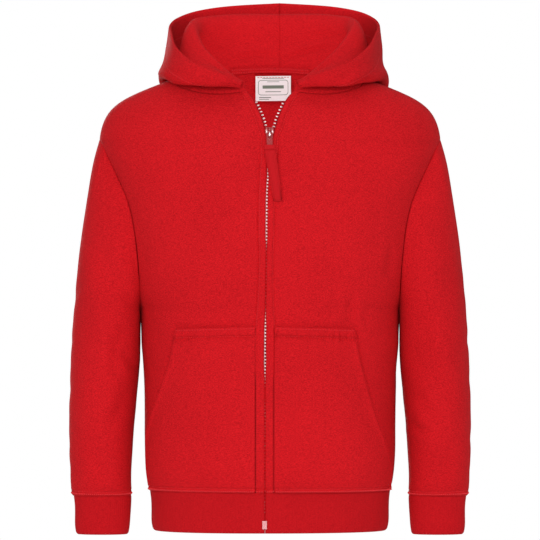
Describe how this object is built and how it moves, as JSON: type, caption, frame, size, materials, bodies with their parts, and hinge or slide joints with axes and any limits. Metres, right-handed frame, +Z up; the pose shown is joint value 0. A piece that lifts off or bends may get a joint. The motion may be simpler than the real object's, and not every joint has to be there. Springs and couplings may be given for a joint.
{
  "type": "kids zip hoodie",
  "caption": "Child's red zip-front hooded sweatshirt, filled out and hollow, with pouch pockets, ribbed cuffs and hem, a hood lying open at the back and a hinged zip pull.",
  "frame": {"origin": "middle of the neck opening, level with the tops of the shoulders, between the front and the back", "axes": "+Z up along the body, -Y out of the front, +X to the wearer's left"},
  "size_m": [0.4452, 0.2503, 0.5961],
  "materials": {
    "fleece": "matte brushed sweatshirt fleece, red",
    "rib": "matte fine rib knit, red",
    "hood_lining": "matte sweatshirt fabric, red",
    "zip_tape": "woven tape, red",
    "zip_teeth": "glossy moulded teeth, pale pink white",
    "zip_slider": "satin red enamel",
    "label": "satin woven label, white"
  },
  "bodies": {
    "garment": {"front_left": "fleece", "front_right": "fleece", "back": "fleece", "sleeve_left": "fleece", "sleeve_right": "fleece", "cuff_left": "rib", "cuff_right": "rib", "hem_band": "rib", "pocket_left": "fleece", "pocket_right": "fleece", "hood_left": "fleece", "hood_right": "fleece", "hood_lining_left": "hood_lining", "hood_lining_right": "hood_lining", "neck_tape": "fleece", "label": "label", "zip_tape_left": "zip_tape", "zip_tape_right": "zip_tape", "zip_chain": "zip_teeth", "zip_teeth_left": "zip_teeth", "zip_teeth_right": "zip_teeth", "zip_slider": "zip_slider", "zip_bridge": "zip_slider", "zip_box": "zip_teeth"},
    "puller": {"pull_tab": "zip_slider", "pull_tape": "fleece"}
  },
  "joints": [
    {"name": "pull_hinge", "type": "hinge", "parent": "garment", "child": "puller", "pos_m": [-0.00041, -0.09603, -0.05659], "axis": [-1, 0, 0], "range_deg": [0, 120]}
  ]
}
